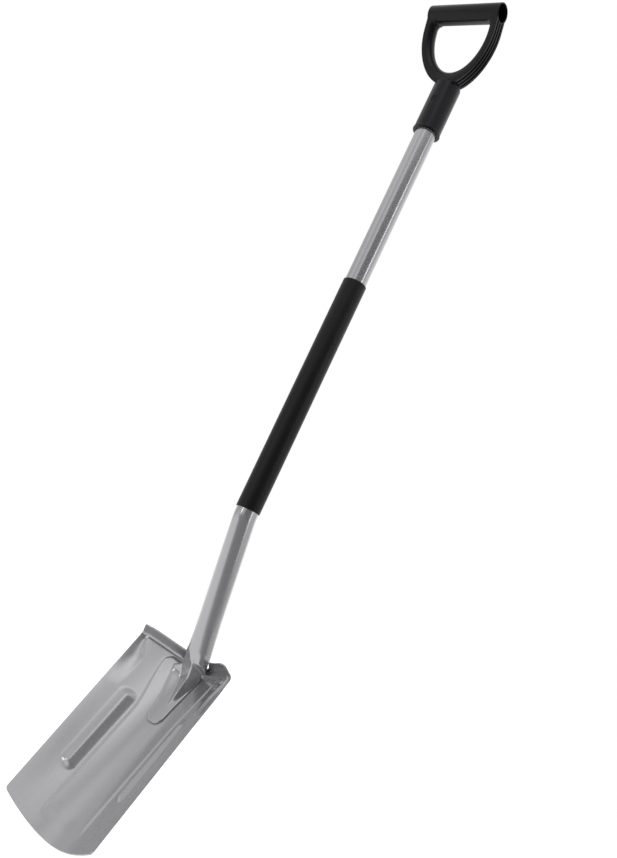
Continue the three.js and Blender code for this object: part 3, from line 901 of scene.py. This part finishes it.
# Orange peel of the sprayed coat, from crest to crest, and its depth
PEEL = 7 * MM
PEEL_DEPTH = 0.001 * MM
CLEAR_COAT = {"Coat Weight": 1.0, "Coat IOR": 1.6, "Coat Roughness": 0.06}
# Flow marks of the plastics, with the shares of tone and the steps of roughness that they bring
FLOW = 30 * MM
FLOW_TONE = (0.85, 1.2)
FLOW_GLOSS = (-0.05, 0.06)
TURNING_MARKS = 0.4 * MM
TURNING_GLOSS = (0.3, 0.5)
BLACKENED = "#26262A"
# Inputs of a mix node that take its two colours
MIX_COLOURS = (6, 7)


def shade(tree, factor, hex_colour, shares):
    """Colour that a factor moves between two shares of its tone."""
    tone = add_node(tree, "ShaderNodeMix", {"Factor": factor}, data_type="RGBA")
    for socket, share in zip(MIX_COLOURS, shares):
        tone.inputs[socket].default_value = [c * share for c in linear(hex_colour)[:3]] + [1.0]
    return tone.outputs[2]


def relief(tree, height, distance, strength):
    """Normal of a relief too fine for the mesh."""
    return add_node(tree, "ShaderNodeBump", {"Height": height, "Distance": distance,
                                             "Strength": strength}).outputs[0]


def silver_paint(name, hex_colour, metallic, roughness):
    """Silver enamel with aluminium flake, sprayed on steel: grainy and metallic under a clear gloss."""
    material, tree, shader = new_material(name)
    place = add_node(tree, "ShaderNodeTexCoord").outputs["Object"]
    flakes = add_node(tree, "ShaderNodeTexVoronoi", {"Vector": place, "Scale": 1 / FLAKE})
    grey = add_node(tree, "ShaderNodeRGBToBW", {"Color": flakes.outputs["Color"]}).outputs[0]
    peel = add_node(tree, "ShaderNodeTexNoise", {"Vector": place, "Scale": 1 / PEEL, "Detail": 1.0})
    set_inputs(shader, {
        "Base Color": shade(tree, grey, hex_colour, (1 - FLAKE_TONE, 1 + FLAKE_TONE)),
        "Roughness": remap(tree, grey, target=(roughness - FLAKE_GLOSS, roughness + FLAKE_GLOSS)),
        "Normal": relief(tree, peel.outputs["Fac"], PEEL_DEPTH, strength=0.5),
        "Metallic": metallic,
        **CLEAR_COAT,
    })
    return material


def moulded_black(name, hex_colour, roughness, grain, depth):
    """Black plastic from a spark-eroded mould or die: a dull sheen broken by a fine grain."""
    material, tree, shader = new_material(name)
    place = add_node(tree, "ShaderNodeTexCoord").outputs["Object"]
    grains = add_node(tree, "ShaderNodeTexNoise", {"Vector": place, "Scale": 1 / grain,
                                                   "Detail": 3.0, "Roughness": 0.6})
    flow = add_node(tree, "ShaderNodeTexNoise", {"Vector": place, "Scale": 1 / FLOW,
                                                 "Detail": 2.0}).outputs["Fac"]
    set_inputs(shader, {
        "Base Color": shade(tree, flow, hex_colour, FLOW_TONE),
        "Roughness": remap(tree, flow, target=[roughness + step for step in FLOW_GLOSS]),
        "Normal": relief(tree, grains.outputs["Fac"], depth, strength=0.7),
        "IOR": 1.5,
        "Specular IOR Level": 0.2,
    })
    return material


def black_steel(name):
    """Blackened steel screw: dark and metallic, with faint turning marks."""
    material, tree, shader = new_material(name)
    place = add_node(tree, "ShaderNodeTexCoord").outputs["Object"]
    marks = add_node(tree, "ShaderNodeTexNoise", {"Vector": place, "Scale": 1 / TURNING_MARKS})
    set_inputs(shader, {
        "Base Color": linear(BLACKENED),
        "Roughness": remap(tree, marks.outputs["Fac"], target=TURNING_GLOSS),
        "Metallic": 0.8,
    })
    return material


# Studio

# Unlit side of the room, which gloss shows dark: its angle from the front and its soft edge
UNLIT_AZIMUTH = math.radians(57)
UNLIT_EDGE = math.radians(6)
# Ceiling lamp that only gloss shows
LAMP_AZIMUTH = math.radians(33)
LAMP_RISE = math.radians(46)
LAMP_HALF = math.radians(16)
# Floor: the glow that brings it to white, metres ahead over which it turns unlit, and its share there
FLOOR_WHITE = "#E6E6E4"
FLOOR_HALF = 6
FLOOR_GLOW = 0.62
FLOOR_UNLIT_SPAN = (0.5, 0.9)
FLOOR_UNLIT_SHARE = 2.5
# Soft lobes on the walls: scale, and the ranges of the noise and of the level
LOBES = 1.6
LOBE_NOISE = (0.42, 0.58)
LOBE_LEVELS = (0.78, 1.16)
# Name, degrees from the front, distance, height, width, length, share of the power, seen in gloss
SOFTBOXES = (
    ("softbox_left", -11, 5.0, 0.95, 0.4, 1.4, 2.4, True),
    ("softbox_right", 99, 5.0, 1.9, 0.4, 3.4, 3.0, True),
    ("softbox_above", 65, 1.9, 2.1, 1.0, 0.8, 3.4, False),
)
SOFTBOX_AIM = Vector((0, 0, 0.6))


def heading(azimuth, rise=0.0):
    """Direction at this angle from the front, towards +X, and this far above the level."""
    return Vector((math.sin(azimuth) * math.cos(rise), -math.cos(azimuth) * math.cos(rise),
                   math.sin(rise)))


def make_floor(studio):
    """Matt white floor that keeps the shadow. It looks white, but gloss also shows its unlit side."""
    half = FLOOR_HALF
    floor = mesh_object("studio_floor", [(-half, -half, 0), (half, -half, 0), (half, half, 0),
                                         (-half, half, 0)], [(0, 1, 2, 3)])
    material, tree, shader = new_material("Matt white studio paper")
    ray = add_node(tree, "ShaderNodeLightPath").outputs
    seen = maths(tree, "MAXIMUM", ray["Is Camera Ray"], ray["Is Glossy Ray"])
    set_inputs(shader, {
        "Base Color": linear(FLOOR_WHITE),
        "Roughness": 0.9,
        "Emission Color": (1, 1, 1, 1),
        "Emission Strength": maths(tree, "MULTIPLY", seen, FLOOR_GLOW),
    })
    place = add_node(tree, "ShaderNodeTexCoord").outputs["Object"]
    ahead = vector_maths(tree, "DOT_PRODUCT", place, heading(UNLIT_AZIMUTH))
    unlit = remap(tree, ahead, FLOOR_UNLIT_SPAN, curve="SMOOTHSTEP")
    share = maths(tree, "MULTIPLY", unlit, ray["Is Glossy Ray"])
    dim = add_node(tree, "ShaderNodeEmission", {"Strength": studio.dark_level * FLOOR_UNLIT_SHARE})
    shown = add_node(tree, "ShaderNodeMixShader", {0: share, 1: shader.outputs[0], 2: dim.outputs[0]})
    set_inputs(tree.nodes["Material Output"], {"Surface": shown.outputs[0]})
    floor.data.materials.append(material)


def cone_edge(half):
    """Cosines between which a direction passes into a cone of this half angle."""
    return math.cos(half + UNLIT_EDGE), math.cos(half - UNLIT_EDGE)


def make_room(studio):
    """Even room light. The camera sees plain white; gloss sees lobes, a lamp and the unlit side."""
    world = bpy.data.worlds.new("White room")
    bpy.context.scene.world = world
    world.use_nodes = True
    tree = world.node_tree
    way = add_node(tree, "ShaderNodeTexCoord").outputs["Generated"]
    level_way = vector_maths(tree, "NORMALIZE", vector_maths(tree, "MULTIPLY", way, (1, 1, 0)))
    facing = vector_maths(tree, "DOT_PRODUCT", level_way, heading(UNLIT_AZIMUTH))
    beside = remap(tree, facing, cone_edge(studio.dark_half), curve="SMOOTHSTEP")
    height = add_node(tree, "ShaderNodeSeparateXYZ", {"Vector": way}).outputs["Z"]
    top_edge = [math.sin(studio.dark_top + step) for step in (UNLIT_EDGE / 2, -UNLIT_EDGE / 2)]
    below = remap(tree, height, top_edge, curve="SMOOTHSTEP")
    unlit = maths(tree, "MULTIPLY", beside, below)
    cloud = add_node(tree, "ShaderNodeTexNoise", {"Vector": way, "Scale": LOBES, "Detail": 0.0})
    wall = remap(tree, cloud.outputs["Fac"], LOBE_NOISE, LOBE_LEVELS, curve="SMOOTHSTEP")
    nearness = vector_maths(tree, "DOT_PRODUCT", way, heading(LAMP_AZIMUTH, LAMP_RISE))
    lamp = remap(tree, nearness, cone_edge(LAMP_HALF), (0.0, studio.lamp_level), curve="SMOOTHSTEP")
    lit = maths(tree, "ADD", wall, lamp)
    mirrored = add_node(tree, "ShaderNodeMix", {"Factor": unlit, "A": lit, "B": studio.dark_level})
    ray = add_node(tree, "ShaderNodeLightPath").outputs
    level = remap(tree, ray["Is Camera Ray"], target=(studio.sky_level, 1.0))
    shown = add_node(tree, "ShaderNodeMix",
                     {"Factor": ray["Is Glossy Ray"], "A": level, "B": mirrored.outputs[0]})
    set_inputs(tree.nodes["Background"], {"Color": (1, 1, 1, 1), "Strength": shown.outputs[0]})


def make_softboxes(studio):
    """Tall strip lights left and right of the camera, and a soft light above it."""
    for name, azimuth, distance, height, width, tall, share, mirrored in SOFTBOXES:
        data = bpy.data.lights.new(name, "AREA")
        data.shape = "RECTANGLE"
        data.size = width
        data.size_y = tall
        data.energy = studio.key_power * share
        light = bpy.data.objects.new(name, data)
        bpy.context.scene.collection.objects.link(light)
        angle = math.radians(azimuth)
        light.location = (distance * math.sin(angle), -distance * math.cos(angle), height)
        aim = SOFTBOX_AIM - light.location
        light.rotation_euler = aim.to_track_quat("-Z", "Y").to_euler()
        light.visible_glossy = mirrored


def make_camera(studio, spine):
    data = bpy.data.cameras.new("camera")
    data.sensor_fit = "VERTICAL"
    data.sensor_height = 36
    data.lens = studio.lens
    camera = bpy.data.objects.new("camera", data)
    bpy.context.scene.collection.objects.link(camera)
    camera.location = Vector(spine.origin) + Vector(studio.camera_at)
    aim = Vector(studio.camera_aim) - Vector(studio.camera_at)
    level = aim.to_track_quat("-Z", "Y").to_matrix()
    camera.rotation_euler = (level @ Matrix.Rotation(studio.camera_roll, 3, "Z")).to_euler()
    bpy.context.scene.camera = camera


# Operators

class Step:
    """Builds one thing in the scene at a click."""

    def execute(self, context):
        scene = context.scene
        self.build(scene, Spine(scene.spade_shaft, scene.spade_blade))
        return {"FINISHED"}


class SPADE_OT_blade(Step, bpy.types.Operator):
    """Press the dished blade with its ribs and folded treads"""
    bl_idname = "spade.blade"
    bl_label = "Blade"

    def build(self, scene, spine):
        paint = silver_paint("Silver enamel on pressed steel", scene.spade_colours.silver,
                             metallic=0.5, roughness=0.24)
        piece = make_blade(scene.spade_blade, spine)
        finish_piece(piece, paint, "blade_paint", "blade")


class SPADE_OT_shaft(Step, bpy.types.Operator):
    """Bend the tube and squeeze its lower end into the tongue"""
    bl_idname = "spade.shaft"
    bl_label = "Shaft"

    def build(self, scene, spine):
        paint = silver_paint("Silver enamel on steel tube", scene.spade_colours.silver,
                             metallic=0.7, roughness=0.22)
        piece = make_shaft(scene.spade_shaft, scene.spade_blade, spine)
        finish_piece(piece, paint, "shaft_paint", "shaft")


class SPADE_OT_sleeve(Step, bpy.types.Operator):
    """Slip the grip sleeve on the tube"""
    bl_idname = "spade.sleeve"
    bl_label = "Grip sleeve"

    def build(self, scene, spine):
        vinyl = moulded_black("Satin black PVC sleeve", scene.spade_colours.sleeve,
                              roughness=0.42, grain=1.2 * MM, depth=0.02 * MM)
        piece = make_sleeve(scene.spade_sleeve, spine, vinyl)
        finish_piece(piece, vinyl, "sleeve_plastic", "shaft_sleeve")


class SPADE_OT_handle(Step, bpy.types.Operator):
    """Mould the D handle with its socket and open crossbar"""
    bl_idname = "spade.handle"
    bl_label = "D handle"

    def build(self, scene, spine):
        plastic = moulded_black("Grained black polypropylene", scene.spade_colours.plastic,
                                roughness=0.3, grain=0.9 * MM, depth=0.03 * MM)
        piece = make_handle(scene.spade_handle, spine)
        finish_piece(piece, plastic, "handle_plastic", "grip_handle")


class SPADE_OT_screw(Step, bpy.types.Operator):
    """Drive the screw that holds the socket on the tube"""
    bl_idname = "spade.screw"
    bl_label = "Handle screw"

    def build(self, scene, spine):
        piece = make_screw(scene.spade_handle, spine)
        finish_piece(piece, black_steel("Blackened steel screw"), "screw_steel", "handle_screw")


class SPADE_OT_studio(Step, bpy.types.Operator):
    """Set the floor, the softboxes, the room light and the camera"""
    bl_idname = "spade.studio"
    bl_label = "Studio"

    def build(self, scene, spine):
        make_floor(scene.spade_studio)
        make_room(scene.spade_studio)
        make_softboxes(scene.spade_studio)
        make_camera(scene.spade_studio, spine)
        scene.view_settings.view_transform = "Standard"


class SPADE_PT_panel(bpy.types.Panel):
    bl_label = "Garden spade"
    bl_idname = "SPADE_PT_panel"
    bl_space_type = "VIEW_3D"
    bl_region_type = "UI"
    bl_category = "Spade"

    def draw(self, context):
        for name, group in GROUPS.items():
            column = self.layout.column(align=True)
            for prop in group.__annotations__:
                column.prop(getattr(context.scene, name), prop)
        for operator in OPERATORS:
            self.layout.operator(operator.bl_idname)


OPERATORS = [SPADE_OT_blade, SPADE_OT_shaft, SPADE_OT_sleeve, SPADE_OT_handle, SPADE_OT_screw,
             SPADE_OT_studio]
CLASSES = [*GROUPS.values(), *OPERATORS, SPADE_PT_panel]


def register():
    for cls in CLASSES:
        bpy.utils.register_class(cls)
    for name, group in GROUPS.items():
        setattr(bpy.types.Scene, name, PointerProperty(type=group))


def unregister():
    for name in GROUPS:
        delattr(bpy.types.Scene, name)
    for cls in reversed(CLASSES):
        bpy.utils.unregister_class(cls)


def main():
    register()
    bpy.ops.spade.studio()
    bpy.ops.spade.blade()
    bpy.ops.spade.shaft()
    bpy.ops.spade.sleeve()
    bpy.ops.spade.handle()
    bpy.ops.spade.screw()


if __name__ == "__main__":
    main()
